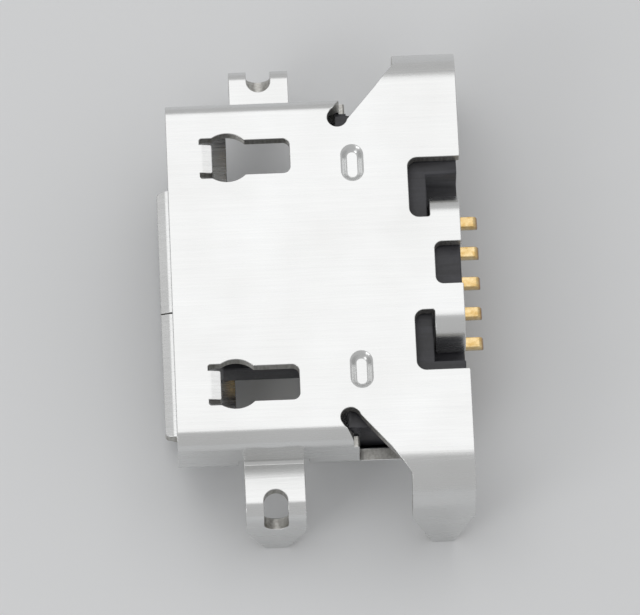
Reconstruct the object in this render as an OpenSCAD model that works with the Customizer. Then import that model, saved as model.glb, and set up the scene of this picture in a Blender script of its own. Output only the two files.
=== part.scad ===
// Micro USB type B socket for a board cut-out. A folded steel shell holds a moulded insulator,
// whose tongue carries five straight contacts. X runs from the mouth to the contact tails,
// Y across the socket, and Z = 0 is the face of the board that the socket is soldered to.

/* [Shell] */
// Thickness of the shell's sheet steel
sheet = 0.25; // [0.2:0.01:0.28]
// Outer width of the sleeve on its wide upper side
shell_w = 7.4; // [7.2:0.1:7.8]
// Outer height of the sleeve
shell_h = 2.4; // [2.3:0.05:2.7]
// Straight part of the narrow lower side, between its corners
narrow_flat = 5.3; // [4.8:0.1:5.4]
// Distance from the top face down to where the side walls start to taper
side_h = 1.15; // [1.05:0.05:1.25]
// Outer radius of the folded corners
corner_r = 0.36; // [0.34:0.02:0.44]
// Length of the closed sleeve, from the mouth
sleeve_l = 3.6; // [3.6:0.05:3.9]
// Length of the top plate at the wings, from the mouth
top_l = 5.85; // [5.8:0.05:6.1]
// Length of the narrow lower side, from the mouth
floor_l = 4.9; // [4.7:0.05:4.95]
// How far the lower lip reaches out of the mouth
lip_l = 0.24; // [0.1:0.02:0.28]
// How far the lower lip is flared down
lip_drop = 0.06; // [0.02:0.01:0.1]
// Height of the top face above the board
top_z = 1.3; // [1.2:0.05:1.4]
// Gap of the seam in the narrow side
seam_gap = 0.03; // [0.02:0.01:0.05]

/* [Legs] */
// Reach of all four legs below the board's face
leg_reach = 1.6; // [1.3:0.1:2]
// Middle of the front legs, from the mouth
front_leg_x = 1.9; // [1.8:0.05:2]
// Width of the front legs where they leave the sleeve
front_leg_w = 1.2; // [1:0.05:1.3]
// Width over the outer faces of the front legs
front_span = 9.7; // [9.4:0.1:10]
// Outer radius of the front legs' bend
front_bend_r = 0.35; // [0.3:0.05:0.45]
// Punched gap beside each front leg, where it is cut out of the sleeve
lance_gap = 0.1; // [0.06:0.02:0.14]
// Width of the oblong hole in the front legs' bend
leg_hole_w = 0.48; // [0.4:0.02:0.54]
// Distance from the hole's inner end to the leg's outer face
leg_hole_in = 0.56; // [0.56:0.02:0.7]
// Depth of the hole's lower end below the board's face
leg_hole_low = 0.55; // [0.5:0.05:0.7]
// Width over the outer faces of the rear legs
rear_span = 9.7; // [9.3:0.1:9.8]
// Outer radius of the rear wings' shoulder
rear_bend_r = 1; // [0.9:0.05:1.05]
// Width of the rear legs
rear_leg_w = 1.25; // [1.1:0.05:1.3]
// Width of a leg's tip
tip_w = 0.45; // [0.35:0.05:0.55]
// Depth below the board's face at which the rear legs start to narrow
rear_shoulder = 0.2; // [0.1:0.05:0.4]
// Metal left under the front legs' hole before they start to narrow
hole_land = 0.15; // [0.1:0.05:0.25]

/* [Cut-outs] */
// Width of the slits between sleeve and wings
slit_w = 0.36; // [0.28:0.02:0.4]
// Angle between the wings' front edge and the length of the socket
wing_angle = 50; // [46:1:54]
// Distance of the latch windows from the middle
window_y = 2.43; // [2.38:0.01:2.45]
// Radius of the latch windows' round end
window_r = 0.52; // [0.48:0.01:0.54]
// Middle of the latch windows' round end, from the mouth
window_x = 1.2; // [1.16:0.01:1.24]
// Width of the latch windows' straight part
window_w = 0.74; // [0.68:0.02:0.8]
// Rear end of the latch windows, from the mouth
window_end = 2.46; // [2.4:0.02:2.54]
// Radius of the latch windows' rear corners
window_corner_r = 0.14; // [0.08:0.01:0.16]
// Bend line of the lead-in flaps at the latch windows, from the mouth
flap_x = 0.66; // [0.62:0.01:0.66]
// Length of the lead-in flaps
flap_l = 0.25; // [0.2:0.01:0.28]
// Gap beside the lead-in flaps
flap_slit = 0.12; // [0.08:0.01:0.14]
// Downward tilt of the latch windows' lead-in flap
flap_tilt = 12; // [8:1:14]
// Width of the lead-in flap
flap_w = 0.62; // [0.56:0.02:0.64]
// Length of the pressed staking dimples, across the socket
dimple_l = 0.74; // [0.66:0.02:0.8]
// Width of the staking dimples
dimple_w = 0.4; // [0.36:0.02:0.44]
// Depth of the staking dimples
dimple_depth = 0.18; // [0.14:0.01:0.2]
// Distance of the staking dimples from the middle
dimple_y = 2.22; // [2.1:0.02:2.3]
// Half width over the outer edges of the rear notches
notch_y = 2.28; // [2.2:0.02:2.34]
// Width of the slots that free the ears, along the socket
slot_w = 0.4; // [0.34:0.02:0.42]
// Radius of the small notch's corners
mid_notch_r = 0.15; // [0.1:0.01:0.2]
// Width of the small notch in the middle of the rear edge
mid_notch_w = 0.9; // [0.8:0.02:1]
// Depth of the small notch from the rear edge
mid_notch_l = 0.54; // [0.46:0.02:0.6]
// Half width of the middle of the rear edge, up to the bend of its ears
ear_y = 1; // [0.95:0.01:1.05]
// Outer radius of the ears' bend
ear_bend_r = 0.6; // [0.54:0.02:0.62]
// Length of the ears along the socket
ear_l = 0.6; // [0.54:0.02:0.62]

/* [Insulator] */
// Gap between the insulator and the shell
fit_gap = 0.02; // [0.01:0.01:0.03]
// Front face of the insulator's block, from the mouth
block_x = 3.4; // [3.3:0.05:3.45]
// Front end of the tongue, from the mouth
tongue_x = 0.8; // [0.7:0.05:0.9]
// Width of the tongue
tongue_w = 3.75; // [3.65:0.05:3.8]
// Thickness of the tongue
tongue_t = 0.62; // [0.58:0.01:0.66]
// Bevel round the tongue's front end
tongue_bevel = 0.16; // [0.1:0.02:0.2]
// Extra thickness of the tongue's root, on each side
root_step = 0.12; // [0.08:0.02:0.14]
// Width of the ledge behind the block, which lies over the board
ledge_w = 6.7; // [6.5:0.1:6.8]
// Depth of the comb's slots, which free the contacts at the ledge's rear
comb_l = 0.24; // [0.18:0.02:0.3]
// Height of the comb's slots above the board
comb_h = 0.56; // [0.5:0.02:0.6]

/* [Contacts] */
// Distance between neighbouring contacts
pitch = 0.65; // [0.64:0.01:0.66]
// Thickness of the contacts
contact_t = 0.2; // [0.16:0.01:0.22]
// Width of the contacts on the tongue
contact_w = 0.32; // [0.28:0.01:0.34]
// Width of the soldered tails
tail_w = 0.22; // [0.2:0.01:0.28]
// Length of the tails behind the top plate
tail_l = 0.32; // [0.22:0.02:0.4]
// How much further back the three middle contacts start, so that the outer two meet first
setback = 0.3; // [0.2:0.05:0.4]
// How far the contacts stand proud of the tongue's lower face
contact_proud = 0.04; // [0.02:0.01:0.06]
// Gap between a contact and the plastic moulded round it
mould_gap = 0.01; // [0.005:0.005:0.015]

/* [Hidden] */
$fn = 48;
// Cutters run this far past the faces that they open
over = 0.5;
// Neighbouring solids of one piece share this much
joined = 0.01;
contact_count = 5;
inner_top = top_z - sheet;
floor_z = top_z - shell_h;
inner_r = corner_r - sheet;
fold_r = 0.08;
// Centres of the sleeve's corner arcs in its cross-section, anticlockwise from the narrow side
corner_centres = [
    [-narrow_flat / 2, floor_z + corner_r],
    [narrow_flat / 2, floor_z + corner_r],
    [shell_w / 2 - corner_r, top_z - side_h],
    [shell_w / 2 - corner_r, top_z - corner_r],
    [-(shell_w / 2 - corner_r), top_z - corner_r],
    [-(shell_w / 2 - corner_r), top_z - side_h]
];
slit_half = slit_w / 2;
relief_r = slit_half + 0.02;
relief_x = sleeve_l - relief_r + 0.04;
relief_y = shell_w / 2 - 0.48;
rear_leg_x = top_l - rear_leg_w;
wing_y = rear_span / 2 - rear_bend_r;
trough_z = 0.1;
mid_l = top_l - 0.05;
notch_x = mid_l - ear_l - slot_w;
ear_low = contact_t + 0.22;
ear_root = 0.1;
pocket_y = ear_y + ear_bend_r + 0.4;
dimple_x = sleeve_l + 0.1;
tongue_low = contact_proud;
tongue_high = tongue_low + tongue_t;
ledge_low = contact_t - 0.08;
contact_x = tongue_x + 0.2;
comb_w = tail_w + 0.12;
tail_end = top_l + tail_l;

function unit(v) = v / norm(v);
// Outward normal of the edge from a to b of an anticlockwise outline
function outward(a, b) = let (d = unit(b - a)) [d.y, -d.x];

// Convex outline whose corners are arcs of radius r about the given centres
module rounded(centres, r) {
    n = len(centres);
    polygon([
        for (i = [0:n - 1], at_end = [false, true])
            let (a = centres[i], b = centres[(i + 1) % n])
            (at_end ? b : a) + r * outward(a, b)
    ]);
    for (c = centres) translate(c) circle(r);
}

// Rectangle with round corners, from its lowest to its highest corner
module rounded_box(low, high, r) {
    rounded([
        [low.x + r, low.y + r], [high.x - r, low.y + r],
        [high.x - r, high.y - r], [low.x + r, high.y - r]
    ], r);
}

// Extrudes a cross-section (Y, Z) from x0 to x1
module along_x(x0, x1) {
    translate([x0, 0, 0]) rotate([90, 0, 90]) linear_extrude(x1 - x0) children();
}

// Extrudes a side view (X, Z) from y0 to y1
module along_y(y0, y1) {
    translate([0, y1, 0]) rotate([90, 0, 0]) linear_extrude(y1 - y0) children();
}

// Extrudes a plan (X, Y) from z0 to z1
module along_z(z0, z1) {
    translate([0, 0, z0]) linear_extrude(z1 - z0) children();
}

// Draws its children, and again mirrored to the other side of the socket
module both_sides() {
    children();
    mirror([0, 1, 0]) children();
}

// Quarter of a bend in the sheet, in the quadrant that the signs name
module quarter_bend(centre, r_out, side) {
    translate(centre) intersection() {
        difference() {
            circle(r_out);
            circle(r_out - sheet);
        }
        translate([side.x > 0 ? 0 : -r_out, side.y > 0 ? 0 : -r_out]) square(r_out);
    }
}

// Box from its lowest to its highest corner
module box(low, high) {
    translate(low) cube(high - low);
}

// Cross-section of the closed sleeve
module sleeve_section() {
    difference() {
        rounded(corner_centres, corner_r);
        rounded(corner_centres, inner_r);
    }
}

// The sleeve, and the narrow side that runs on behind it under the insulator
module sleeve() {
    along_x(0, sleeve_l) sleeve_section();
    intersection() {
        along_x(sleeve_l - over, floor_l) sleeve_section();
        box([0, -shell_w, floor_z - over], [floor_l, shell_w, trough_z]);
    }
    along_y(-narrow_flat / 2, narrow_flat / 2) polygon([
        [joined, floor_z], [joined, floor_z + sheet],
        [-lip_l, floor_z + sheet - lip_drop], [-lip_l, floor_z - lip_drop]
    ]);
}

// Cross-section of a wing: flat, a wide shoulder, and the leg
module wing_section() {
    translate([-joined, inner_top]) square([wing_y + joined, sheet]);
    quarter_bend([wing_y, top_z - rear_bend_r], rear_bend_r, [1, 1]);
    translate([rear_span / 2 - sheet, -leg_reach]) square([sheet, leg_reach + top_z - rear_bend_r]);
}

// Plan of a wing: its front edge runs along the slit at wing_angle, then along the leg
module wing_plan() {
    start_y = relief_y - slit_half / cos(wing_angle);
    knee_y = start_y + (rear_leg_x - relief_x) * tan(wing_angle);
    polygon([
        [relief_x, -joined], [relief_x, start_y], [rear_leg_x, knee_y],
        [rear_leg_x, rear_span / 2 + over], [top_l + over, rear_span / 2 + over],
        [top_l + over, -joined]
    ]);
}

// Side view of a leg that narrows to a tip
module leg_side(x0, x1, tip_x, shoulder_z) {
    polygon([
        [x0, top_z + over], [x0, shoulder_z], [tip_x - tip_w / 2, -leg_reach],
        [tip_x + tip_w / 2, -leg_reach], [x1, shoulder_z], [x1, top_z + over]
    ]);
}

// Top plate behind the sleeve, with its wing and rear leg on one side
module wing() {
    intersection() {
        along_x(relief_x - over, top_l + over) wing_section();
        along_z(-leg_reach - over, top_z + over) wing_plan();
        along_y(-over, rear_span / 2 + over) {
            leg_side(rear_leg_x - joined, top_l, top_l - rear_leg_w / 2, -rear_shoulder);
            translate([relief_x - over, trough_z])
                square([rear_leg_x - relief_x + over, top_z + over - trough_z]);
        }
    }
}

// Cross-section of a front leg: folded out of the side wall, flat on the board, then down
module front_leg_section() {
    outer = front_span / 2;
    hinge = [shell_w / 2 + fold_r, sheet + fold_r];
    quarter_bend(hinge, fold_r + sheet, [-1, -1]);
    translate([hinge.x, 0]) square([outer - front_bend_r - hinge.x, sheet]);
    quarter_bend([outer - front_bend_r, sheet - front_bend_r], front_bend_r, [1, 1]);
    translate([outer - sheet, -leg_reach]) square([sheet, leg_reach + sheet - front_bend_r]);
}

// Front leg of one side, with the oblong hole through its bend
module front_leg() {
    outer = front_span / 2;
    hole_r = leg_hole_w / 2;
    difference() {
        intersection() {
            along_x(front_leg_x - front_leg_w / 2, front_leg_x + front_leg_w / 2)
                front_leg_section();
            along_y(shell_w / 2 - over, outer + over) leg_side(
                front_leg_x - front_leg_w / 2, front_leg_x + front_leg_w / 2,
                front_leg_x, -leg_hole_low - hole_land
            );
        }
        along_z(-front_bend_r, sheet + over) {
            translate([front_leg_x, outer - leg_hole_in + hole_r]) circle(hole_r);
            translate([front_leg_x - hole_r, outer - leg_hole_in + hole_r])
                square([leg_hole_w, leg_hole_in]);
        }
        along_y(outer - sheet - fold_r, outer + over) {
            translate([front_leg_x, -leg_hole_low + hole_r]) circle(hole_r);
            translate([front_leg_x - hole_r, -leg_hole_low + hole_r])
                square([leg_hole_w, leg_hole_low]);
        }
    }
}

// Part of the sleeve that each front leg was cut from, as long as the leg laid flat
module lanced_window() {
    half = front_leg_w / 2 + lance_gap;
    flat = front_span / 2 - shell_w / 2 - front_bend_r;
    bend = PI / 2 * (front_bend_r - sheet / 2);
    upright = leg_reach + sheet - front_bend_r;
    taper = norm(corner_centres[2] - corner_centres[1]);
    inner_y = narrow_flat / 2 - (flat + bend + upright - taper);
    box([front_leg_x - half, inner_y, floor_z - over],
        [front_leg_x + half, shell_w / 2 + over, sheet + fold_r]);
}

// Slit between the sleeve and a wing: a slightly wider round root, and the cut that runs out at wing_angle
module relief_slit() {
    run = (shell_w / 2 + over / 2 - relief_y) / sin(wing_angle);
    along_z(inner_top - relief_r, top_z + over) translate([relief_x, relief_y]) {
        circle(relief_r);
        rotate(wing_angle) translate([0, -slit_half / 2]) square([run, 1.5 * slit_half]);
    }
}

// Latch window: round end, straight part, and the opening that frees the flap
module latch_window() {
    front_w = flap_w + 2 * flap_slit;
    along_z(inner_top - joined, top_z + over) {
        translate([window_x, window_y]) circle(window_r);
        rounded_box([window_x, window_y - window_w / 2],
            [window_end, window_y + window_w / 2], window_corner_r);
        translate([flap_x, window_y - front_w / 2]) square([window_x - flap_x, front_w]);
    }
}

// Lead-in flap at a latch window's front, bent down into it
module lead_in_flap() {
    root = 0.03;
    translate([flap_x, window_y - flap_w / 2, top_z]) rotate([0, flap_tilt, 0])
        translate([-root, 0, -sheet]) cube([root + flap_l, flap_w, sheet]);
}

// Oblong with sloping sides, its middle at the origin: a pressed dimple or its seat
module oblong_cone(low_z, high_z, low_r, high_r, run) {
    for (y = [-run / 2, run / 2])
        translate([0, y, low_z]) cylinder(h = high_z - low_z, r1 = low_r, r2 = high_r);
    along_y(-run / 2, run / 2) polygon([
        [-low_r, low_z], [low_r, low_z], [high_r, high_z], [-high_r, high_z]
    ]);
}

// A staking dimple's pressed shape below height z, made larger all round by grow
module dimple(z, grow) {
    slope = 0.06;
    run = dimple_l - dimple_w;
    translate([dimple_x, dimple_y, 0])
        oblong_cone(z - dimple_depth - grow, z, dimple_w / 2 - slope + grow, dimple_w / 2 + grow, run);
}

// Rear notch of one side: a rounded slot, open to the rear outside the ear
module rear_notch() {
    slot_r = slot_w / 2 - joined;
    along_z(inner_top - over / 2, top_z + over) {
        rounded_box([notch_x, ear_y], [notch_x + slot_w, notch_y], slot_r);
        translate([notch_x + slot_w - joined, ear_y])
            square([top_l - notch_x, notch_y - ear_y]);
        translate([notch_x + slot_w / 2, ear_y + slot_w])
            square([top_l - notch_x, notch_y - ear_y - slot_w]);
    }
}

// Ear at one side of the rear edge's middle, bent down into the insulator
module ear() {
    along_x(mid_l - ear_l, mid_l) {
        translate([ear_y - ear_root, inner_top]) square([ear_root, sheet]);
        quarter_bend([ear_y, top_z - ear_bend_r], ear_bend_r, [1, 1]);
        translate([ear_y + ear_bend_r - sheet, ear_low])
            square([sheet, top_z - ear_bend_r - ear_low]);
    }
}

// Seam of the narrow side: straight, with one dovetail that locks its edges together
module seam() {
    dovetail_x = front_leg_x + 1.15;
    half_neck = 0.22;
    half_head = 0.34;
    head_y = 0.5;
    path = [
        [-lip_l - over, 0], [dovetail_x - half_neck, 0], [dovetail_x - half_head, head_y],
        [dovetail_x + half_head, head_y], [dovetail_x + half_neck, 0], [floor_l + over, 0]
    ];
    along_z(floor_z - over, floor_z + sheet + 0.05)
        for (i = [0:len(path) - 2]) {
            step = path[i + 1] - path[i];
            translate(path[i]) rotate(atan2(step.y, step.x))
                translate([-seam_gap / 2, -seam_gap / 2])
                square([norm(step) + seam_gap, seam_gap]);
        }
}

// The whole shell: one sheet, punched and folded
module shell() {
    color("silver") {
        difference() {
            union() {
                sleeve();
                both_sides() wing();
                both_sides() dimple(inner_top + joined, 0);
            }
            both_sides() lanced_window();
            both_sides() relief_slit();
            both_sides() latch_window();
            both_sides() dimple(top_z, 0);
            both_sides() rear_notch();
            along_z(inner_top - over / 2, top_z + over)
                rounded_box([mid_l - mid_notch_l, -mid_notch_w / 2],
                    [mid_l + over, mid_notch_w / 2], mid_notch_r);
            box([mid_l, -notch_y, inner_top - over / 2], [top_l + over, notch_y, top_z + over]);
            seam();
        }
        both_sides() front_leg();
        both_sides() lead_in_flap();
        both_sides() ear();
    }
}

// Front end of contact number i
function nose_x(i) = contact_x + (i == 1 || i == contact_count ? 0 : setback);
// Place of contact number i across the socket, counted from the near side
function contact_y(i) = (i - (contact_count + 1) / 2) * pitch;

// Plan of a contact about its own middle line: nose, blade, barbs, tail
module contact_plan(x, grow) {
    half = contact_w / 2 + grow;
    tail = tail_w / 2 + grow;
    barb = 0.05;
    barb_x = (block_x + floor_l) / 2;
    barb_end = barb_x + 0.25 + grow;
    polygon([
        [x - grow, -half + 0.06], [x + 0.08, -half], [barb_x, -half], [barb_end, -half - barb],
        [barb_end, -tail], [tail_end + grow, -tail], [tail_end + grow, tail], [barb_end, tail],
        [barb_end, half + barb], [barb_x, half], [x + 0.08, half], [x - grow, half - 0.06]
    ]);
}

// Side view of a contact: bevelled below its nose, rounded off above its tail's end
module contact_side(x, grow) {
    polygon([
        [x - grow, contact_t + grow], [x - grow, 0.12],
        [x + 0.12, -grow], [tail_end + grow, -grow],
        [tail_end + grow, contact_t - 0.09], [tail_end - 0.03, contact_t - 0.02],
        [tail_end - 0.09, contact_t + grow]
    ]);
}

// Straight contact number i, made larger all round by grow
module contact_blank(i, grow) {
    translate([0, contact_y(i), 0]) intersection() {
        along_z(-over, contact_t + over) contact_plan(nose_x(i), grow);
        along_y(-pitch, pitch) contact_side(nose_x(i), grow);
    }
}

// Contact number i
module contact(i) {
    color("gold") contact_blank(i, 0);
}

// Tongue with a bevelled front end and a thicker root
module tongue() {
    half = tongue_w / 2;
    nose = tongue_bevel;
    root_x = block_x - 0.2;
    intersection() {
        along_y(-half, half) polygon([
            [tongue_x, tongue_low + nose], [tongue_x + nose, tongue_low],
            [block_x + over, tongue_low], [block_x + over, tongue_high],
            [tongue_x + nose, tongue_high], [tongue_x, tongue_high - nose]
        ]);
        along_z(tongue_low - over, tongue_high + over) polygon([
            [tongue_x, -half + nose], [tongue_x + nose, -half], [block_x + over, -half],
            [block_x + over, half], [tongue_x + nose, half], [tongue_x, half - nose]
        ]);
    }
    along_y(-half - root_step, half + root_step) polygon([
        [root_x - root_step, tongue_low], [root_x, tongue_low - root_step],
        [block_x + over, tongue_low - root_step], [block_x + over, tongue_high + root_step],
        [root_x, tongue_high + root_step], [root_x - root_step, tongue_high]
    ]);
}

// Ledge that lies over the board behind the block and backs the top plate
module ledge() {
    half = ledge_w / 2;
    foot_y = (contact_count * pitch + comb_w) / 2;
    difference() {
        box([floor_l - over, -half, fit_gap], [mid_l - fit_gap, half, inner_top - fit_gap]);
        box([floor_l - 2 * over, -foot_y, -over], [top_l, foot_y, ledge_low]);
        both_sides() box([mid_l - ear_l - 2 * fit_gap, ear_y - ear_root, ear_low - fit_gap],
            [top_l, pocket_y, top_z]);
        for (i = [1:contact_count])
            translate([0, contact_y(i), 0])
                box([mid_l - comb_l, -comb_w / 2, -over], [top_l, comb_w / 2, comb_h]);
    }
}

// Moulded insulator: a block that fills the sleeve's rear, the tongue and the ledge
module insulator() {
    color("#202124") difference() {
        union() {
            difference() {
                along_x(block_x, floor_l) rounded(corner_centres, inner_r - fit_gap);
                both_sides() box([sleeve_l + fit_gap, ledge_w / 2, floor_z],
                    [floor_l + over, shell_w, top_z]);
            }
            tongue();
            ledge();
        }
        both_sides() dimple(inner_top + joined, fit_gap);
        for (i = [1:contact_count])
            contact_blank(i, mould_gap);
    }
}

shell();
insulator();
contact(1);  // contact_1
contact(2);  // contact_2
contact(3);  // contact_3
contact(4);  // contact_4
contact(5);  // contact_5
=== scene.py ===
import math

import bmesh
import bpy
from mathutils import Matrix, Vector
from mathutils.geometry import delaunay_2d_cdt


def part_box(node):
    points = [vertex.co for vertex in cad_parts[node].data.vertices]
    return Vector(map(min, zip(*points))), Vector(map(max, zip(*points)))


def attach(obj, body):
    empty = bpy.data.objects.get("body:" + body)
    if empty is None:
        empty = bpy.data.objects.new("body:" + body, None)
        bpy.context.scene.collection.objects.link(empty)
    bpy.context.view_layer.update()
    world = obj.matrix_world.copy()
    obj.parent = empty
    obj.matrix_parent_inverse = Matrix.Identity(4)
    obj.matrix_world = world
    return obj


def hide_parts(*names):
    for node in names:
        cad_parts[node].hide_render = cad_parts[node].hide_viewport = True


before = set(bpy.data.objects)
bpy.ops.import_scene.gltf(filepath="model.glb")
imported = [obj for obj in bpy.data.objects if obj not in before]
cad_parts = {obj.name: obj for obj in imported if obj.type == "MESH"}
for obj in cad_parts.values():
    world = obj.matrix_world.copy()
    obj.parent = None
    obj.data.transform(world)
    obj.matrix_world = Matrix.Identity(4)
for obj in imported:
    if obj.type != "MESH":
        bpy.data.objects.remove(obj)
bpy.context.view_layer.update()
mm = 0.001  # the frame is in metres, a socket is easier in millimetres
print("frame loaded:", ", ".join(sorted(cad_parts)))


def linearFromHex(hexColour):
    channels = [int(hexColour[i : i + 2], 16) / 255 for i in (1, 3, 5)]
    return [c / 12.92 if c <= 0.04045 else ((c + 0.055) / 1.055) ** 2.4 for c in channels] + [1.0]


def addNode(tree, kind, settings=None, links=None):
    node = tree.nodes.new(kind)
    for name, value in (settings or {}).items():
        if hasattr(node, name):
            setattr(node, name, value)
        else:
            node.inputs[name].default_value = value
    for name, source in (links or {}).items():
        tree.links.new(source, node.inputs[name])
    return node


def setRamp(ramp, shares, firstColour, lastColour):
    for element, share, colour in zip(ramp.color_ramp.elements, shares, (firstColour, lastColour)):
        element.position = share
        element.color = linearFromHex(colour)


def newMaterial(name):
    material = bpy.data.materials.new(name)
    material.use_nodes = True
    tree = material.node_tree
    tree.nodes.clear()
    output = addNode(tree, "ShaderNodeOutputMaterial")
    return material, tree, output


def stretchedPlace(tree, along, across, upward):
    # pattern sizes in millimetres along X, Y and Z become one scaled coordinate
    place = addNode(tree, "ShaderNodeTexCoord")
    scales = [1 / (size * mm) for size in (along, across, upward)]
    return addNode(tree, "ShaderNodeMapping", {"Scale": scales}, {"Vector": place.outputs["Object"]})


# Bright nickel plating over pressed stainless strip: a clean mirror broken by the strip's fine rolled grain
nickelPlating = {
    "colour": "#e5e6e6",
    "shade": "#d8d8d7",  # thin plating is a little duller
    "roughness": 0.2,
    "roughnessSpread": 0.1,
    "grainLength": 1.6,  # mm, drawn coarser than real rolled grain so that it shows
    "grainWidth": 0.035,
    "cloud": 1.4,  # mm, slow waves left by the folding tools
    "cloudHeight": 0.004,
    "grainHeight": 0.0004,
}


def makeNickelPlating():
    material, tree, output = newMaterial("nickel_plating_pressed")
    grainPlace = stretchedPlace(
        tree, nickelPlating["grainLength"], nickelPlating["grainWidth"], nickelPlating["grainWidth"] * 2
    )
    grain = addNode(
        tree, "ShaderNodeTexNoise", {"Scale": 1.0, "Detail": 3.0, "Roughness": 0.6},
        {"Vector": grainPlace.outputs["Vector"]},
    )
    cloudPlace = stretchedPlace(tree, *[nickelPlating["cloud"]] * 3)
    cloud = addNode(
        tree, "ShaderNodeTexNoise", {"Scale": 1.0, "Detail": 2.0}, {"Vector": cloudPlace.outputs["Vector"]}
    )
    colour = addNode(
        tree, "ShaderNodeMix",
        {"data_type": "RGBA"}, {"Factor": cloud.outputs["Fac"]},
    )
    colour.inputs[6].default_value = linearFromHex(nickelPlating["colour"])  # socket 6 is colour A, 7 is B
    colour.inputs[7].default_value = linearFromHex(nickelPlating["shade"])
    rough = addNode(
        tree, "ShaderNodeMapRange",
        {
            "From Min": 0.3, "From Max": 0.7,
            "To Min": nickelPlating["roughness"],
            "To Max": nickelPlating["roughness"] + nickelPlating["roughnessSpread"],
        },
        {"Value": grain.outputs["Fac"]},
    )
    waves = addNode(
        tree, "ShaderNodeBump", {"Strength": 0.25, "Distance": nickelPlating["cloudHeight"] * mm},
        {"Height": cloud.outputs["Fac"]},
    )
    lines = addNode(
        tree, "ShaderNodeBump", {"Strength": 0.5, "Distance": nickelPlating["grainHeight"] * mm},
        {"Height": grain.outputs["Fac"], "Normal": waves.outputs["Normal"]},
    )
    shader = addNode(
        tree, "ShaderNodeBsdfPrincipled", {"Metallic": 1.0},
        {
            "Base Color": colour.outputs[2], "Roughness": rough.outputs["Result"],
            "Normal": lines.outputs["Normal"],
        },
    )
    tree.links.new(shader.outputs["BSDF"], output.inputs["Surface"])
    return material


# Punched edge of the steel strip: half burnished smooth, half torn grey, so it catches less light
punchedEdge = {
    "burnished": "#cbcac6",
    "torn": "#b1afaa",
    "roughness": 0.42,
    "tearWidth": 0.05,  # mm between the tear's upright streaks
    "tearLength": 0.3,
    "tearHeight": 0.002,
    "tearShare": (0.35, 0.62),  # of the noise, from all torn to all burnished
}


def makePunchedEdge():
    material, tree, output = newMaterial("stainless_steel_punched")
    across, upward = punchedEdge["tearWidth"], punchedEdge["tearLength"]
    place = stretchedPlace(tree, across, across, upward)
    tear = addNode(
        tree, "ShaderNodeTexNoise", {"Scale": 1.0, "Detail": 4.0}, {"Vector": place.outputs["Vector"]}
    )
    ramp = addNode(tree, "ShaderNodeValToRGB", {}, {"Fac": tear.outputs["Fac"]})
    setRamp(ramp, punchedEdge["tearShare"], punchedEdge["torn"], punchedEdge["burnished"])
    streaks = addNode(
        tree, "ShaderNodeBump", {"Strength": 0.6, "Distance": punchedEdge["tearHeight"] * mm},
        {"Height": tear.outputs["Fac"]},
    )
    shader = addNode(
        tree, "ShaderNodeBsdfPrincipled", {"Metallic": 1.0, "Roughness": punchedEdge["roughness"]},
        {"Base Color": ramp.outputs["Color"], "Normal": streaks.outputs["Normal"]},
    )
    tree.links.new(shader.outputs["BSDF"], output.inputs["Surface"])
    return material


# Black liquid-crystal polymer, moulded: deep grey-black skin with faint flow streaks and a satin grain
liquidCrystalPolymer = {
    "colour": "#2a2a2e",
    "streak": "#38383e",
    "roughness": 0.42,
    "flowLength": 1.2,  # mm
    "flowWidth": 0.12,
    "flowShare": (0.4, 0.7),  # of the noise, from plain skin to a full streak
    "grain": 0.05,  # mm, the spark-eroded mould's texture
    "grainHeight": 0.004,
}


def makeLiquidCrystalPolymer():
    material, tree, output = newMaterial("liquid_crystal_polymer_moulded")
    flowPlace = stretchedPlace(
        tree, liquidCrystalPolymer["flowLength"], liquidCrystalPolymer["flowWidth"],
        liquidCrystalPolymer["flowWidth"],
    )
    flow = addNode(
        tree, "ShaderNodeTexNoise", {"Scale": 1.0, "Detail": 3.0, "Distortion": 0.6},
        {"Vector": flowPlace.outputs["Vector"]},
    )
    grainPlace = stretchedPlace(tree, *[liquidCrystalPolymer["grain"]] * 3)
    grain = addNode(
        tree, "ShaderNodeTexNoise", {"Scale": 1.0, "Detail": 2.0}, {"Vector": grainPlace.outputs["Vector"]}
    )
    ramp = addNode(tree, "ShaderNodeValToRGB", {}, {"Fac": flow.outputs["Fac"]})
    setRamp(
        ramp, liquidCrystalPolymer["flowShare"],
        liquidCrystalPolymer["colour"], liquidCrystalPolymer["streak"],
    )
    rough = addNode(
        tree, "ShaderNodeMapRange",
        {
            "To Min": liquidCrystalPolymer["roughness"] - 0.08,
            "To Max": liquidCrystalPolymer["roughness"] + 0.12,
        },
        {"Value": grain.outputs["Fac"]},
    )
    skin = addNode(
        tree, "ShaderNodeBump", {"Strength": 0.4, "Distance": liquidCrystalPolymer["grainHeight"] * mm},
        {"Height": grain.outputs["Fac"]},
    )
    shader = addNode(
        tree, "ShaderNodeBsdfPrincipled", {"IOR": 1.55},
        {
            "Base Color": ramp.outputs["Color"], "Roughness": rough.outputs["Result"],
            "Normal": skin.outputs["Normal"],
        },
    )
    tree.links.new(shader.outputs["BSDF"], output.inputs["Surface"])
    return material


# Gold plating over a copper alloy strip: warm and bright, with a brown cut where the tail left its carrier
goldPlating = {
    "gold": "#f4dcaa",
    "thinGold": "#dab26a",
    "bareAlloy": "#8a5a3c",
    "roughness": 0.22,
    "speckle": 0.12,  # mm, uneven thickness of the plating
    "thinShare": (0.3, 0.75),  # of the noise, from full plating to thin
    "bareLength": 0.05,  # mm of the tail's end
}


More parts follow.
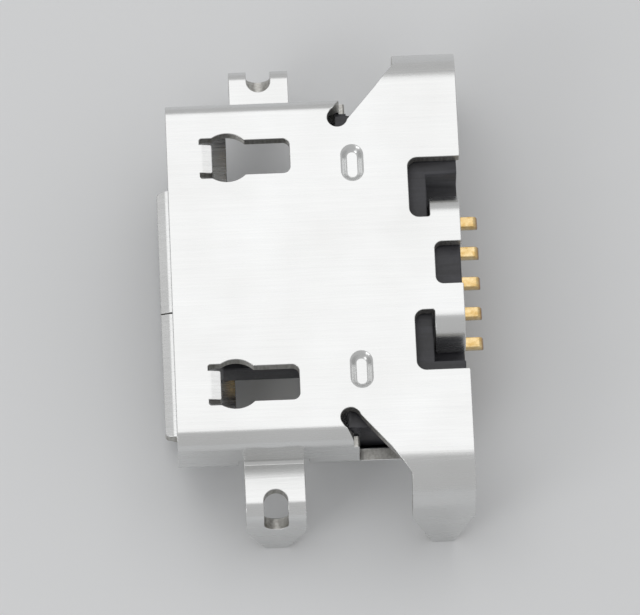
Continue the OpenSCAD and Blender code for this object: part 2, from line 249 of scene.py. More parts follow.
def makeGoldPlating(tailEnd):
    material, tree, output = newMaterial("gold_plating_on_copper_alloy")
    place = stretchedPlace(tree, *[goldPlating["speckle"]] * 3)
    speckle = addNode(
        tree, "ShaderNodeTexNoise", {"Scale": 1.0, "Detail": 3.0}, {"Vector": place.outputs["Vector"]}
    )
    ramp = addNode(tree, "ShaderNodeValToRGB", {}, {"Fac": speckle.outputs["Fac"]})
    setRamp(ramp, goldPlating["thinShare"], goldPlating["gold"], goldPlating["thinGold"])
    where = addNode(tree, "ShaderNodeTexCoord")
    along = addNode(tree, "ShaderNodeSeparateXYZ", {}, {"Vector": where.outputs["Object"]})
    bare = addNode(
        tree, "ShaderNodeMapRange",
        {"From Min": tailEnd - goldPlating["bareLength"] * mm, "From Max": tailEnd},
        {"Value": along.outputs["X"]},
    )
    colour = addNode(tree, "ShaderNodeMix", {"data_type": "RGBA"}, {"Factor": bare.outputs["Result"]})
    tree.links.new(ramp.outputs["Color"], colour.inputs[6])
    colour.inputs[7].default_value = linearFromHex(goldPlating["bareAlloy"])
    rough = addNode(
        tree, "ShaderNodeMapRange",
        {"To Min": goldPlating["roughness"] - 0.05, "To Max": goldPlating["roughness"] + 0.1},
        {"Value": speckle.outputs["Fac"]},
    )
    shader = addNode(
        tree, "ShaderNodeBsdfPrincipled", {"Metallic": 1.0},
        {"Base Color": colour.outputs[2], "Roughness": rough.outputs["Result"]},
    )
    tree.links.new(shader.outputs["BSDF"], output.inputs["Surface"])
    return material


def tidyFaces(mesh):
    # takes out slivers and leaves triangles only, in millimetres
    bmesh.ops.dissolve_degenerate(mesh, dist=0.001, edges=mesh.edges)
    bmesh.ops.triangulate(mesh, faces=mesh.faces[:])


def easedCopy(node, name, easing):
    # copies a frame piece, joins its flat triangles and eases its sharp edges, working in millimetres
    mesh = bmesh.new()
    mesh.from_mesh(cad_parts[node].data)
    bmesh.ops.scale(mesh, vec=(1 / mm,) * 3, verts=mesh.verts)
    bmesh.ops.remove_doubles(mesh, verts=mesh.verts, dist=easing["weld"])
    bmesh.ops.dissolve_limit(
        mesh, angle_limit=math.radians(easing["flat"]), verts=mesh.verts, edges=mesh.edges
    )
    # only outer edges that are long enough, so that the fine facets of round corners stay as they are
    sharp = [
        edge for edge in mesh.edges
        if edge.is_manifold and edge.calc_face_angle(0) > math.radians(easing["angle"])
        and edge.is_convex and edge.calc_length() > easing["shortest"]
    ]
    bmesh.ops.bevel(
        mesh, geom=sharp, offset=easing["radius"], offset_type="OFFSET", segments=easing["steps"],
        profile=0.5, affect="EDGES", clamp_overlap=False,
    )
    tidyFaces(mesh)
    bmesh.ops.scale(mesh, vec=(mm,) * 3, verts=mesh.verts)
    data = bpy.data.meshes.new(name)
    mesh.to_mesh(data)
    mesh.free()
    for polygon in data.polygons:
        polygon.use_smooth = True
    piece = bpy.data.objects.new(name, data)
    bpy.context.scene.collection.objects.link(piece)
    data.set_sharp_from_angle(angle=math.radians(easing["smooth"]))
    # keeps the broad flats flat beside the easing
    evened = piece.modifiers.new("evened_normals", "WEIGHTED_NORMAL")
    evened.mode = "FACE_AREA"
    evened.weight = 100
    evened.keep_sharp = True
    return piece


# The shell is drawn as its flat blank, in millimetres: x from the mouth, s along the strip from the middle
# of the wide side. Sheet thickness is added, and then the blank is folded as the real strip is.
shellForm = {
    "sheet": 0.25,
    "width": 7.4,
    "top": 1.3,  # of the wide side, above the board
    "cornerRadius": 0.36,
    "sideHeight": 1.15,  # of the upright sides, before the sleeve narrows
    "height": 2.4,
    "narrowFlat": 5.3,  # width of the flat narrow side
    "sleeveLength": 3.6,
    "topLength": 5.85,  # x where the wide side ends at the wings
    "middleLength": 5.8,  # and where the middle with its ears does
    "floorLength": 4.9,  # x where the trough behind the sleeve ends
    "troughTop": 4.55,  # s where the trough behind the sleeve starts
    "troughScale": 0.5,  # the trough is drawn this short, clear of the wing legs, and folding stretches it
    "lipLength": 0.24,
    "lipDrop": 0.06,
    "legEnd": -1.6,  # below the board
    "tabHinge": 0.08,  # inside radius where the tab leaves the side
    "tabX": (1.3, 2.5),
    "tabSpan": 9.7,  # over both front legs
    "tabBend": 0.35,
    "tabTaper": -0.7,  # height where the front legs start to narrow
    "lanceGap": 0.1,
    "lanceEnd": 1.12,  # from the narrow side's middle to the opening
    "holeWidth": 0.48,
    "holeInner": 0.56,  # from the front legs' outer face to the hole's inner end
    "holeLow": -0.55,  # height of its lower end
    "wingSpan": 9.7,  # over both rear legs
    "wingBend": 1.0,
    "wingLegX": 4.6,
    "wingTaper": -0.2,  # height where the rear legs start to narrow
    "tipWidth": 0.45,
    "slitPlace": (3.44, 3.22),
    "slitRadius": 0.2,
    "slitHalf": 0.18,
    "slitAngle": 50,  # degrees from the direction of x
    "slitLow": 3.8,  # s where the slit ends on the sleeve's side
    "windowPlace": (1.2, 2.43),
    "windowRadius": 0.52,
    "windowHalf": 0.37,
    "windowEnd": 2.46,
    "windowCorner": 0.14,
    "flapX": (0.66, 0.91),
    "flapHalf": 0.31,
    "flapSlit": 0.12,
    "flapSlope": 0.2126,  # rise over run, 12 degrees
    "notchX": 4.8,
    "notchY": 2.28,
    "notchSlot": 0.4,
    "slotFlat": 0.01,  # half the short flat between the notch's two round corners
    "earY": 1.0,
    "earX": 5.2,
    "earBend": 0.6,
    "earLow": 0.42,  # height of the ears' lower ends above the board
    "midNotch": (0.9, 0.54, 0.15),  # width, depth, corner radius
    "dovetail": (3.05, 0.22, 0.34, 0.5),  # x, half neck, half head, reach
    "seamGap": 0.02,
    "dimplePlace": (3.7, 2.22),
    "dimpleRun": 0.34,
    "dimpleRim": 0.24,  # radius where the pressed cup starts, and the one where its floor does
    "dimpleFoot": 0.09,
    "dimpleDepth": 0.12,
    "dimpleRows": 8,
    "easing": 0.016,  # radius that tumbling and plating leave on the punched edges
    "easingSteps": 2,
    "flatNormal": 0.95,  # upward share of the normal from which a face counts as flat
    "upright": 0.3,  # and below which it is the sheared edge
    "sameSide": 0.8,  # cosine up to which neighbouring edge faces are shaded as one
    "bendStep": 7.5,  # degrees of bend between two rows of vertices
    "arcStep": 7.5,
    "wingEdgeSteps": 24,
    "rootReach": 0.12,  # how far the slit's round root reaches along it
    "slitSamples": (0.087, 0.05, 9),  # first place along the slit's other side, step and count
    "slitShare": 0.97,  # share of the corner's bend over which they count
    "skin": 0.001,  # depth within which a point belongs to the outer face
    "closest": 0.002,  # points of an outline that lie nearer are left out
    "inside": 0.35,  # keeps tight corners from shooting out when an outline is moved into the metal
    "lipInset": 0.04,  # s lost where the lip starts
    "lipSpread": 0.03,  # s that it gains by its end
    "flapRows": 4,
    "lipRows": 5,
    "rowStep": 0.02,
    "flapSoft": 0.06,  # length over which the flap and the lip bend away
    "lipSoft": 0.08,
    "plateEdge": 3.0,  # s from which the wide side parts into sleeve and wings
    "troughClear": 4.3,  # x between the shortened trough and the wing legs
}

# Radii that the punch leaves in the blank's corners, in millimetres
cornerRadii = {
    "tight": 0.035,
    "flap": 0.04,
    "root": 0.045,
    "slot": 0.05,
    "step": 0.06,
    "ear": 0.08,
    "lance": 0.1,
    "tab": 0.12,
    "wing": 0.15,
}

# How far past its edge a strip of the blank still folds the places there, in millimetres
foldMargins = {
    "tab": 0.02, "ear": 0.05, "notch": 0.1, "slit": 0.1, "sleeve": 0.05, "trough": 0.01, "flap": 0.01,
}


def foldPath(y, z, parts):
    # parts are ("flat", length) or ("bend", radius at mid-sheet, degrees), where positive degrees bend down
    path, s, angle = [], 0.0, 0.0
    for part in parts:
        if part[0] == "flat":
            path.append((s, part[1], y, z, angle, 0.0))
            y, z, s = y + part[1] * math.cos(angle), z + part[1] * math.sin(angle), s + part[1]
            continue
        radius, turn = part[1], math.radians(part[2])
        bend = -1 / radius if turn > 0 else 1 / radius
        length = radius * abs(turn)
        path.append((s, length, y, z, angle, bend))
        y += (math.sin(angle + bend * length) - math.sin(angle)) / bend
        z -= (math.cos(angle + bend * length) - math.cos(angle)) / bend
        s, angle = s + length, angle + bend * length
    return path


def alongPath(path, s):
    # place, direction and bend of the mid-sheet line at s; the last part runs on straight
    for start, length, y, z, angle, bend in path:
        if s <= start + length or start == path[-1][0]:
            break
    run = s - start
    if bend == 0.0:
        return y + run * math.cos(angle), z + run * math.sin(angle), angle, 0.0
    turned = angle + bend * run
    return (
        y + (math.sin(turned) - math.sin(angle)) / bend, z - (math.cos(turned) - math.cos(angle)) / bend,
        turned, bend,
    )


# Which part of its fold path each of these is, counted from 0 at the middle of the wide side
foldParts = {"narrowSide": 6, "tabHinge": 3, "tabShelf": 4, "tabLeg": 6, "wingLeg": 2}


def pathMark(path, part):
    return path[foldParts[part]][0]


def shellPaths():
    form, half = shellForm, shellForm["sheet"] / 2
    top, corner = form["top"] - half, form["cornerRadius"]
    dy = form["width"] / 2 - corner - form["narrowFlat"] / 2
    dz = form["height"] - form["sideHeight"] - corner
    taper = math.degrees(math.atan2(dy, dz))
    toCorner = [("flat", form["width"] / 2 - corner), ("bend", corner - half, 90)]
    sleeve = toCorner + [
        ("flat", form["sideHeight"] - corner), ("bend", corner - half, taper),
        ("flat", math.hypot(dy, dz)), ("bend", corner - half, 90 - taper), ("flat", form["narrowFlat"] / 2),
    ]
    hinge, bend = form["tabHinge"], form["tabBend"]
    tab = toCorner + [
        ("flat", form["top"] - corner - form["sheet"] - hinge), ("bend", hinge + half, -90),
        ("flat", (form["tabSpan"] - form["width"]) / 2 - hinge - bend), ("bend", bend - half, 90),
        ("flat", form["sheet"] - bend - form["legEnd"]),
    ]
    wing = [
        ("flat", form["wingSpan"] / 2 - form["wingBend"]), ("bend", form["wingBend"] - half, 90),
        ("flat", form["top"] - form["wingBend"] - form["legEnd"]),
    ]
    ear = [
        ("flat", form["earY"]), ("bend", form["earBend"] - half, 90),
        ("flat", form["top"] - form["earBend"] - form["earLow"]),
    ]
    return {name: foldPath(0, top, parts) for name, parts in
            (("sleeve", sleeve), ("tab", tab), ("wing", wing), ("ear", ear))}


def pathEnd(path):
    return path[-1][0] + path[-1][1]


def roundedLine(corners):
    # corners are (x, s, radius); each becomes an arc, and a radius of 0 keeps the corner sharp
    points = []
    for i, (x, s, radius) in enumerate(corners):
        here = Vector((x, s))
        if radius == 0:
            points.append(here)
            continue
        before = (Vector(corners[i - 1][:2]) - here).normalized()
        after = (Vector(corners[(i + 1) % len(corners)][:2]) - here).normalized()
        opening = before.angle(after)
        reach = radius / math.tan(opening / 2)
        centre = here + (before + after).normalized() * radius / math.sin(opening / 2)
        first, last = here + before * reach - centre, here + after * reach - centre
        turn = first.angle_signed(last)
        steps = max(2, round(abs(math.degrees(turn)) / shellForm["arcStep"]))
        for k in range(steps + 1):
            angle = -turn * k / steps
            points.append(centre + Vector((
                first.x * math.cos(angle) - first.y * math.sin(angle),
                first.x * math.sin(angle) + first.y * math.cos(angle),
            )))
    return points


def arc(centre, radius, fromDegrees, toDegrees):
    steps = max(2, round(abs(toDegrees - fromDegrees) / shellForm["arcStep"]))
    angles = [math.radians(fromDegrees + (toDegrees - fromDegrees) * k / steps) for k in range(steps + 1)]
    return [(centre[0] + radius * math.cos(a), centre[1] + radius * math.sin(a), 0) for a in angles]


def wingEdge():
    # the wing's straight edge in plan crosses the shoulder's bend, so its flat outline is a curve
    form = shellForm
    slitX, slitY = form["slitPlace"]
    lift = math.radians(form["slitAngle"])
    bendStart, radius = form["wingSpan"] / 2 - form["wingBend"], form["wingBend"] - form["sheet"] / 2
    startY = slitY - form["slitHalf"] / math.cos(lift)
    points = []
    for k in range(1, form["wingEdgeSteps"] + 1):
        x = slitX + (form["wingLegX"] - slitX) * k / form["wingEdgeSteps"]
        y = startY + (x - slitX) * math.tan(lift)
        along = (x - slitX) * math.cos(lift) + (y - slitY) * math.sin(lift)
        if along > form["rootReach"]:
            s = y if y < bendStart else bendStart + radius * math.asin((y - bendStart) / radius)
            points.append((x, s, 0))
    return points


def slitEdge():
    # the slit's edge on the sleeve, flattened where it runs over the corner's bend
    form = shellForm
    slitX, slitY = form["slitPlace"]
    lift = math.radians(form["slitAngle"])
    run, rise = math.cos(lift), math.sin(lift)
    cornerBend = form["cornerRadius"] - form["sheet"] / 2
    flatY = form["width"] / 2 - form["cornerRadius"]
    firstAlong, stepAlong, samples = form["slitSamples"]
    points = []
    for k in range(samples):
        along = firstAlong + k * stepAlong
        x = slitX + along * run - form["slitHalf"] * rise
        y = slitY + along * rise + form["slitHalf"] * run
        if flatY < y < flatY + cornerBend * form["slitShare"]:
            points.append((x, flatY + cornerBend * math.asin((y - flatY) / cornerBend), 0))
    return sorted(points, reverse=True)


def seamEdge(paths, troughX, way):
    # way 1 gives the dovetail's tail, which reaches past the seam, and way -1 its socket in the other half
    form, tight = shellForm, cornerRadii["tight"]
    end, gap = pathEnd(paths["sleeve"]), form["seamGap"] / 2
    x, neck, head, reach = form["dovetail"]
    fit = gap if way > 0 else 0
    seam, tip = end - gap, end + way * reach - gap
    return [
        (-form["lipLength"], seam, 0), (x - neck + fit, seam, tight), (x - head + fit, tip, tight),
        (x + head - fit, tip, tight), (x + neck - fit, seam, tight), (troughX, seam, tight),
    ]


def halfOutline(paths, way):
    # one half of the blank's outline, from the mouth past the seam round to the middle of the rear edge
    form, corner = shellForm, cornerRadii
    sleeve, wing, ear = paths["sleeve"], paths["wing"], paths["ear"]
    narrow = pathMark(sleeve, "narrowSide")
    troughX = form["sleeveLength"] + (form["floorLength"] - form["sleeveLength"]) * form["troughScale"]
    lift, r = form["slitAngle"], form["slitRadius"]
    front = slitEdge()
    legStart = pathMark(wing, "wingLeg") + form["top"] - form["wingBend"] - form["wingTaper"]
    tipX = form["topLength"] - (form["topLength"] - form["wingLegX"]) / 2
    tip = form["tipWidth"] / 2
    slot = form["notchSlot"] / 2 - form["slotFlat"]
    midWidth, midDepth, midRadius = form["midNotch"]
    aside = math.degrees(math.asin(form["slitHalf"] / r))
    return (
        [
            (0, narrow - form["lipInset"], corner["flap"]),
            (-form["lipLength"], narrow + form["lipSpread"], corner["lance"]),
        ]
        + seamEdge(paths, troughX, way)
        + [
            (troughX, form["troughTop"], corner["ear"]),
            (form["sleeveLength"], form["troughTop"], corner["step"]),
            (form["sleeveLength"], form["slitLow"], corner["slot"]), (front[0][0], form["slitLow"], 0.0),
        ]
        + front
        + arc(form["slitPlace"], r, lift + aside, lift + 360 - aside)
        + wingEdge()
        + [
            (form["wingLegX"], legStart, corner["wing"]), (tipX - tip, pathEnd(wing), corner["slot"]),
            (tipX + tip, pathEnd(wing), corner["slot"]), (form["topLength"], legStart, corner["wing"]),
            (form["topLength"], form["notchY"], corner["tight"]), (form["notchX"], form["notchY"], slot),
            (form["notchX"], form["earY"], slot), (form["earX"], form["earY"], corner["flap"]),
            (form["earX"], pathEnd(ear), corner["ear"]),
            (form["middleLength"], pathEnd(ear), corner["ear"]),
            (form["middleLength"], midWidth / 2, corner["tight"]),
            (form["middleLength"] - midDepth, midWidth / 2, midRadius),
        ]
    )


def windowLine():
    # the latch window, cut round the flap that stays in its front part
    form, corner = shellForm, cornerRadii
    wx, wy = form["windowPlace"]
    radius, halfWidth = form["windowRadius"], form["windowHalf"]
    flapOut = form["flapHalf"] + form["flapSlit"]
    x0, x1 = form["flapX"]
    wide = math.degrees(math.asin(halfWidth / radius))
    near = 180 - math.degrees(math.asin(flapOut / radius))
    return (
        [(x0, wy + form["flapHalf"], 0), (x0, wy + flapOut, corner["slot"])]
        + arc((wx, wy), radius, near, wide)
        + [
            (form["windowEnd"], wy + halfWidth, form["windowCorner"]),
            (form["windowEnd"], wy - halfWidth, form["windowCorner"]),
        ]
        + arc((wx, wy), radius, -wide, -near)
        + [
            (x0, wy - flapOut, corner["slot"]), (x0, wy - form["flapHalf"], 0),
            (x1, wy - form["flapHalf"], corner["flap"]), (x1, wy + form["flapHalf"], corner["flap"]),
        ]
    )


def legHoleLine(paths):
    # the long hole over the front tab's bend, which lets solder rise
    form, tab = shellForm, paths["tab"]
    middle = sum(form["tabX"]) / 2
    radius = form["holeWidth"] / 2
    shelf = (form["tabSpan"] - form["width"]) / 2
    inner = pathMark(tab, "tabShelf") + shelf - form["holeInner"] - form["tabHinge"]
    low = pathMark(tab, "tabLeg") + form["sheet"] - form["tabBend"] - form["holeLow"]
    return arc((middle, low - radius), radius, 0, 180) + arc((middle, inner + radius), radius, 180, 360)


def lanceLine(paths):
    # the cut that frees the front tab and its leg from the sleeve, with the opening that it leaves behind
    form, corner, tab = shellForm, cornerRadii, paths["tab"]
    middle = sum(form["tabX"]) / 2
    root = pathMark(tab, "tabHinge")
    taper = pathMark(tab, "tabLeg") + form["sheet"] - form["tabBend"] - form["tabTaper"]
    end, tip = pathEnd(tab), form["tipWidth"] / 2
    lanceEnd = pathMark(paths["sleeve"], "narrowSide") + form["narrowFlat"] / 2 - form["lanceEnd"]
    t0, t1, gap = form["tabX"][0], form["tabX"][1], form["lanceGap"]
    return [
        (t0 - gap, root, corner["root"]), (t0 - gap, lanceEnd, corner["lance"]),
        (t1 + gap, lanceEnd, corner["lance"]), (t1 + gap, root, corner["root"]),
        (t1, root, corner["root"]), (t1, taper, corner["tab"]),
        (middle + tip, end, corner["slot"]), (middle - tip, end, corner["slot"]),
        (t0, taper, corner["tab"]), (t0, root, corner["root"]),
    ]


def dimpleRings():
    # rows of points round each dimple, so that the outer face can be pressed in there
    form = shellForm
    dx, dy = form["dimplePlace"]
    run, rim, foot = form["dimpleRun"] / 2, form["dimpleRim"], form["dimpleFoot"]
    rings = []
    for k in range(form["dimpleRows"] + 1):
        r = rim + (foot - rim) * k / form["dimpleRows"]
        ring = roundedLine(arc((dx, dy + run), r, 0, 180) + arc((dx, dy - run), r, 180, 360))
        rings += [ring, [Vector((p.x, -p.y)) for p in ring]]
    return rings


def pressedCup(x, s):
    # depth of the dimple's cup at a place on the blank, and how steeply the outer face rises there
    form = shellForm
    dx, dy = form["dimplePlace"]
    run, rim, foot = form["dimpleRun"] / 2, form["dimpleRim"], form["dimpleFoot"]
    away = Vector((x - dx, s - max(dy - run, min(dy + run, s))))
    part = min(1.0, (rim - away.length) / (rim - foot))
    if part <= 0:
        return 0.0, Vector((0, 0))
    steep = form["dimpleDepth"] * 6 * part * (1 - part) / (rim - foot)
    return form["dimpleDepth"] * part * part * (3 - 2 * part), away.normalized() * steep


def shellOutlines(paths):
    # the whole blank: one half with the seam's socket, the other with its tail, and the holes of both
    right = halfOutline(paths, -1)
    left = [(x, -s, radius) for x, s, radius in reversed(halfOutline(paths, 1))]
    outer = roundedLine(right + left)
    holes = []
    for line in (windowLine(), legHoleLine(paths), lanceLine(paths)):
        hole = roundedLine(line)
        holes += [hole, [Vector((p.x, -p.y)) for p in reversed(hole)]]
    return outer, holes


def withoutDoubles(ring):
    return [p for i, p in enumerate(ring) if (p - ring[i - 1]).length > shellForm["closest"]]


def signedArea(ring):
    return sum(a.x * b.y - b.x * a.y for a, b in zip(ring, ring[1:] + ring[:1])) / 2


def insetRing(ring, depth):
    # moves each point into the metal, which lies to the left of the ring's direction
    moved = []
    for i, point in enumerate(ring):
        a = (point - ring[i - 1]).normalized()
        b = (ring[(i + 1) % len(ring)] - point).normalized()
        normalA, normalB = Vector((-a.y, a.x)), Vector((-b.y, b.x))
        moved.append(point + (normalA + normalB) * depth / max(shellForm["inside"], 1 + normalA.dot(normalB)))
    return moved


def insideRing(ring, x, y):
    # whether a place lies in a ring, by counting the edges to its right
    inside = False
    for a, b in zip(ring, ring[1:] + ring[:1]):
        if (a.y > y) != (b.y > y) and x < a.x + (y - a.y) * (b.x - a.x) / (b.y - a.y):
            inside = not inside
    return inside


def makeSlab(mesh, outer, holes, pressed):
    # sheet metal between z = -sheet/2 and +sheet/2, with eased edges all round its outline and holes
    half, easing, steps = shellForm["sheet"] / 2, shellForm["easing"], shellForm["easingSteps"]
    rings = [withoutDoubles(ring) for ring in [outer] + holes]
    rings = [ring if (signedArea(ring) > 0) == (i == 0) else ring[::-1] for i, ring in enumerate(rings)]
    levels = []
    for k in range(steps + 1):
        turn = math.pi / 2 * k / steps
        levels.append((half - easing + easing * math.sin(turn), easing * (1 - math.cos(turn))))
    levels = [(-z, inset) for z, inset in reversed(levels)] + levels
    insets = {inset: [insetRing(ring, inset) for ring in rings] for _, inset in levels}
    loops = [
        [[mesh.verts.new((p.x, p.y, z)) for p in ring] for ring in insets[inset]] for z, inset in levels
    ]
    for lower, upper in zip(loops, loops[1:]):
        for below, above in zip(lower, upper):
            for i in range(len(below)):
                mesh.faces.new((below[i - 1], below[i], above[i], above[i - 1]))
    # the flats between outline and holes, above with the rows of points for the dimples
    flatRings = insets[levels[-1][1]]
    cups = [withoutDoubles(ring) for ring in pressed]
    cupLoops = [[mesh.verts.new((p.x, p.y, half)) for p in ring] for ring in cups]
    for loop, facesUp, extra in ((loops[-1] + cupLoops, True, cups), (loops[0], False, [])):
        points, edges = [], []
        for ring in flatRings + extra:
            first = len(points)
            points += ring
            edges += [(first + i, first + (i + 1) % len(ring)) for i in range(len(ring))]
        found = delaunay_2d_cdt(points, edges, [], 0, 1e-6)
        foundPoints, triangles, origins = found[0], found[2], found[3]
        flat = [vert for ring in loop for vert in ring]
        for triangle in triangles:
            x = sum(foundPoints[i].x for i in triangle) / 3
            y = sum(foundPoints[i].y for i in triangle) / 3
            if not insideRing(flatRings[0], x, y) or any(insideRing(ring, x, y) for ring in flatRings[1:]):
                continue
            corners = [flat[origins[i][0]] for i in triangle]
            mesh.faces.new(corners if facesUp else corners[::-1])


def bendRows(paths):
    # every s at which the blank needs a row of vertices to fold smoothly
    rows = set()
    for path in paths.values():
        for start, length, *_, bend in path:
            if bend != 0.0:
                steps = max(2, round(math.degrees(length * abs(bend)) / shellForm["bendStep"]))
                rows.update(round(start + length * k / steps, 5) for k in range(steps + 1))
    return sorted(rows)


def cutRows(mesh, places, across):
    normal = (0, 1, 0) if across else (1, 0, 0)
    for place in places:
        point = (0, place, 0) if across else (place, 0, 0)
        everything = mesh.verts[:] + mesh.edges[:] + mesh.faces[:]
        bmesh.ops.bisect_plane(mesh, geom=everything, dist=1e-5, plane_co=point, plane_no=normal)


def easedSlope(run, slope, soft):
    # height and slope of a small bend across the strip that starts at run = 0 over a soft length
    if run <= 0:
        return 0.0, 0.0
    if run < soft:
        return slope * run * run / (2 * soft), slope * run / soft
    return slope * (run - soft / 2), slope


def foldFor(paths, x, s):
    # the fold path that a place on the blank follows, and whether it lies in the shortened trough
    form, margin = shellForm, foldMargins
    sleeve, tab = paths["sleeve"], paths["tab"]
    t0, t1 = form["tabX"]
    slitX, slitY = form["slitPlace"]
    troughTop = form["troughTop"] - margin["trough"]
    if t0 - margin["tab"] < x < t1 + margin["tab"] and s > pathMark(tab, "tabHinge"):
        return (tab if s < pathEnd(tab) + margin["tab"] else sleeve), False
    if x > form["earX"] - margin["ear"] and form["earY"] < s < form["notchY"] - margin["notch"]:
        return paths["ear"], False
    pastTrough = s <= troughTop or x >= form["troughClear"]
    if x > slitX + margin["slit"] and s > form["plateEdge"] and pastTrough:
        slit = math.radians(form["slitAngle"])
        beyond = (x - slitX) * math.sin(slit) - (s - slitY) * math.cos(slit)
        onWing = beyond > 0 or x > form["sleeveLength"] + margin["sleeve"]
        return (paths["wing"] if onWing else sleeve), False
    return sleeve, x > form["sleeveLength"] and s > troughTop


def bentAway(x, s):
    # how far the lip or the flap stands off the strip at a place, and its slope along x
    form, margin = shellForm, foldMargins["flap"]
    if x < 0:
        steep = form["lipDrop"] / (form["lipLength"] - form["lipSoft"] / 2)
        lift, slope = easedSlope(-x, steep, form["lipSoft"])
        return lift, -slope
    (start, end), middle = form["flapX"], form["windowPlace"][1]
    if start < x < end + margin and abs(s - middle) < form["flapHalf"] + margin:
        lift, slope = easedSlope(x - start, form["flapSlope"], form["flapSoft"])
        return -lift, -slope
    return 0.0, 0.0


def foldPoint(paths, x, s, t, normal):
    # folds one point of the slab and its normal from the flat blank to its place on the shell
    form = shellForm
    side, s = (1, s) if s >= 0 else (-1, -s)
    nx, ns, nt = normal[0], normal[1] * side, normal[2]
    path, inTrough = foldFor(paths, x, s)
    if inTrough:
        x = form["sleeveLength"] + (x - form["sleeveLength"]) / form["troughScale"]
        nx *= form["troughScale"]
    y, z, angle, bend = alongPath(path, s)
    ns /= 1 - bend * t
    lift, slope = bentAway(x, s)
    nx -= slope * nt
    if t > form["sheet"] / 2 - form["skin"]:
        depth, rise = pressedCup(x, s)
        lift -= depth
        nx -= rise.x * nt
        ns -= rise.y * nt
    offset = t + lift
    place = Vector((x, y - offset * math.sin(angle), z + offset * math.cos(angle)))
    folded = Vector((
        nx, ns * math.cos(angle) - nt * math.sin(angle), ns * math.sin(angle) + nt * math.cos(angle)
    ))
    place.y *= side
    folded.y *= side
    return place, folded.normalized()


def slabNormals(mesh):
    # normals of the flat slab, one per face corner: flats stay flat and eased edges turn smoothly into them
    half, easing = shellForm["sheet"] / 2, shellForm["easing"]
    sideNormals = {}
    for face in mesh.faces:
        if abs(face.normal.z) < shellForm["flatNormal"]:
            sideNormals[face] = face.normal.to_2d().normalized()
    corners = {}
    for face in mesh.faces:
        for loop in face.loops:
            if face not in sideNormals:
                corners[loop] = Vector((0, 0, 1 if face.normal.z > 0 else -1))
                continue
            own = sideNormals[face]
            total = Vector((0, 0))
            for other in loop.vert.link_faces:
                if other in sideNormals and sideNormals[other].dot(own) > shellForm["sameSide"]:
                    total += sideNormals[other]
            total.normalize()
            height = loop.vert.co.z
            beyond = max(0.0, abs(height) - (half - easing))
            turn = math.asin(min(1.0, beyond / easing))
            corners[loop] = Vector((
                total.x * math.cos(turn), total.y * math.cos(turn), math.copysign(math.sin(turn), height)
            ))
    return corners


def makeShell():
    paths = shellPaths()
    outer, holes = shellOutlines(paths)
    mesh = bmesh.new()
    makeSlab(mesh, outer, holes, dimpleRings())
    rows = bendRows(paths)
    cutRows(mesh, rows + [-row for row in rows], True)
    step = shellForm["rowStep"]
    flapCuts = [shellForm["flapX"][0] + step * k for k in range(shellForm["flapRows"])]
    lipCuts = [-step * k for k in range(shellForm["lipRows"])]
    cutRows(mesh, flapCuts + lipCuts + [shellForm["sleeveLength"]], False)
    tidyFaces(mesh)
    mesh.normal_update()
    corners = slabNormals(mesh)
    folded = {}
    for vert in mesh.verts:
        folded[vert] = foldPoint(paths, *vert.co, (0, 0, 1))[0]
    for loop, normal in corners.items():
        corners[loop] = foldPoint(paths, *loop.vert.co, normal)[1]
    cutEdges = {face for face in mesh.faces if abs(face.normal.z) < shellForm["upright"]}
    for vert, place in folded.items():
        vert.co = place
    for face in mesh.faces:
        face.smooth = True
        face.material_index = 1 if face in cutEdges else 0
    bmesh.ops.scale(mesh, vec=(mm,) * 3, verts=mesh.verts)
    mesh.faces.index_update()
    normals = [tuple(corners[loop]) for face in mesh.faces for loop in face.loops]
    data = bpy.data.meshes.new("folded_shell")
    mesh.to_mesh(data)
    mesh.free()
    data.normals_split_custom_set(normals)
    piece = bpy.data.objects.new("folded_shell", data)
    bpy.context.scene.collection.objects.link(piece)
    data.materials.append(makeNickelPlating())
    data.materials.append(makePunchedEdge())
    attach(piece, "root")
    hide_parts("shell")
    print("shell folded:", len(data.polygons), "faces")


# Edges of the moulding, in millimetres and degrees: the mould leaves them slightly round
insulatorEasing = {
    "weld": 0.0005, "flat": 0.2, "radius": 0.03, "steps": 2, "angle": 25, "smooth": 40, "shortest": 0.2,
}


def makeInsulator():
    piece = easedCopy("insulator", "moulded_insulator", insulatorEasing)
    piece.data.materials.append(makeLiquidCrystalPolymer())
    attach(piece, "root")
    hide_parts("insulator")
    print("insulator dressed:", len(piece.data.polygons), "faces")


# Edges of the stamped contacts, in the same measures
contactEasing = {
    "weld": 0.0005, "flat": 0.2, "radius": 0.015, "steps": 2, "angle": 20, "smooth": 40, "shortest": 0.04,
}
contactCount = 5


def makeContacts():
    plating = makeGoldPlating(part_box("contact_3")[1].x)
    for number in range(1, contactCount + 1):
        node = f"contact_{number}"
        piece = easedCopy(node, f"gold_contact_{number}", contactEasing)
        piece.data.materials.append(plating)
        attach(piece, "root")
        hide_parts(node)
    print("contacts dressed")


makeShell()
makeInsulator()
makeContacts()

# Paper floor and soft lamps, with the large softbox where the plate mirrors it into the camera
studio = {
    "floor": "#e6e7e8",
    "floorSize": 400,  # mm
    "worldStrength": 0.56,
    "worldColour": "#ffffff",
    "softboxSize": 130,  # mm, square
    "softboxHeight": 120,
    "softboxBack": 50,
    "softboxPower": 0.0375,
    "sideSize": 60,
    "sidePlace": (-90, -70, 70),
    "lampTarget": (3, 0, 0),
    "sidePower": 0.02,
}


def makeFloor():
    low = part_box("shell")[0].z  # the tips of the legs
    bpy.ops.mesh.primitive_plane_add(size=studio["floorSize"] * mm, location=(0, 0, low))
    floor = bpy.context.object
    floor.name = "paper_floor"
    material, tree, output = newMaterial("matt_paper_smooth")
    shader = addNode(
        tree, "ShaderNodeBsdfPrincipled",
        {"Base Color": linearFromHex(studio["floor"]), "Roughness": 0.9, "IOR": 1.4},
    )
    tree.links.new(shader.outputs["BSDF"], output.inputs["Surface"])
    floor.data.materials.append(material)


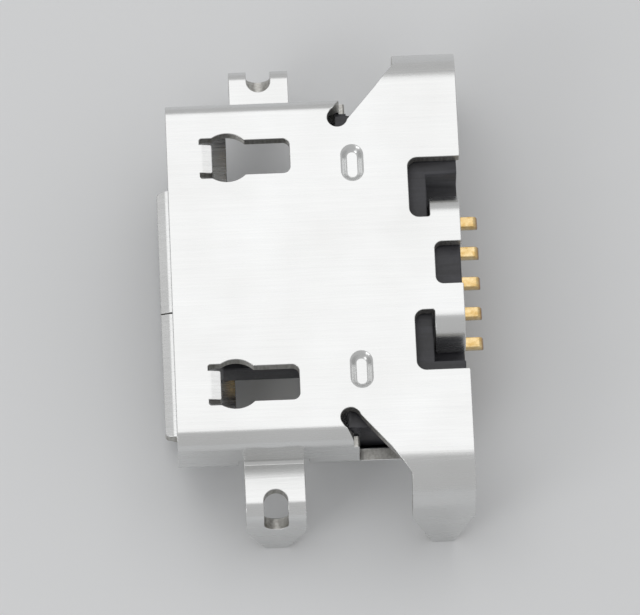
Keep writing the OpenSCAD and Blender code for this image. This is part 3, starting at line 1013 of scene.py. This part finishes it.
def makeLamp(name, size, place, power):
    data = bpy.data.lights.new(name, "AREA")
    data.shape = "SQUARE"
    data.size = size * mm
    data.energy = power
    lamp = bpy.data.objects.new(name, data)
    bpy.context.scene.collection.objects.link(lamp)
    lamp.location = Vector(place) * mm
    towards = Vector(studio["lampTarget"]) * mm - lamp.location
    lamp.rotation_euler = towards.to_track_quat("-Z", "Y").to_euler()


def makeLight():
    world = bpy.data.worlds.new("studio_world")
    bpy.context.scene.world = world
    world.use_nodes = True
    background = world.node_tree.nodes["Background"]
    background.inputs["Color"].default_value = linearFromHex(studio["worldColour"])
    background.inputs["Strength"].default_value = studio["worldStrength"]
    above = (0, studio["softboxBack"], studio["softboxHeight"])
    makeLamp("softbox_above", studio["softboxSize"], above, studio["softboxPower"])
    makeLamp("softbox_left", studio["sideSize"], studio["sidePlace"], studio["sidePower"])


# The photograph's viewing angle, nearly straight down on the wide side
cameraView = {
    "elevation": 68,  # degrees above the floor
    "azimuth": -2.4,  # degrees, looking along +Y
    "distance": 170,  # mm
    "target": (2.95, -0.35, 0.0),  # mm
    "widthInView": 12.8,  # mm across the frame at the target
    "sensor": 36,  # mm
    "nearest": 0.001,  # metres, and the farthest that it sees
    "farthest": 10,
}


def makeCamera():
    data = bpy.data.cameras.new("camera")
    data.sensor_width = cameraView["sensor"]
    data.lens = data.sensor_width * cameraView["distance"] / cameraView["widthInView"]
    data.clip_start = cameraView["nearest"]
    data.clip_end = cameraView["farthest"]
    camera = bpy.data.objects.new("camera", data)
    bpy.context.scene.collection.objects.link(camera)
    lift = math.radians(cameraView["elevation"])
    turn = math.radians(cameraView["azimuth"])
    away = Vector((math.sin(turn) * math.cos(lift), -math.cos(turn) * math.cos(lift), math.sin(lift)))
    target = Vector(cameraView["target"])
    camera.location = (target + away * cameraView["distance"]) * mm
    camera.rotation_euler = (-away).to_track_quat("-Z", "Y").to_euler()
    bpy.context.scene.camera = camera


makeFloor()
makeLight()
makeCamera()
bpy.context.scene.view_settings.view_transform = "Standard"
print("studio ready")
